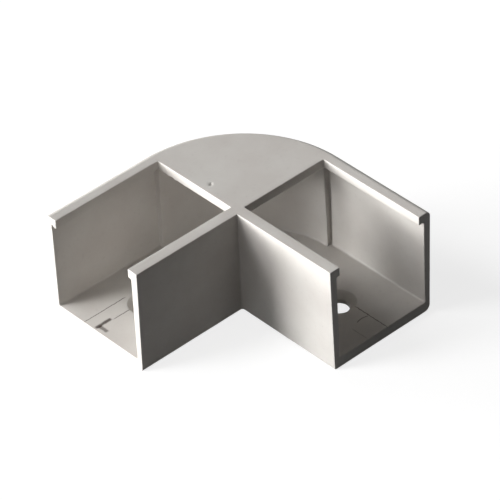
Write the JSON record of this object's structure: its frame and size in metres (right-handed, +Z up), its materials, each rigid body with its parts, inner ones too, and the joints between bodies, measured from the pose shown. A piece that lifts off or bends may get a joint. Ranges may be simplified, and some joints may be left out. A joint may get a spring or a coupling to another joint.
{
  "type": "t slot corner bracket",
  "caption": "Cast right-angle corner bracket with two lipped channels, a rounded and plated corner, and a countersunk screw hole in each channel's floor.",
  "frame": {"origin": "on the flat underside, where the centrelines of the two channels cross", "axes": "+X and +Y out along the two channels, +Z up out of the open slots"},
  "size_m": [0.059, 0.059, 0.0273],
  "materials": {
    "casting": "satin, fine-grained as-cast surface"
  },
  "bodies": {
    "root": {"corner_bracket": "casting"}
  },
  "joints": []
}
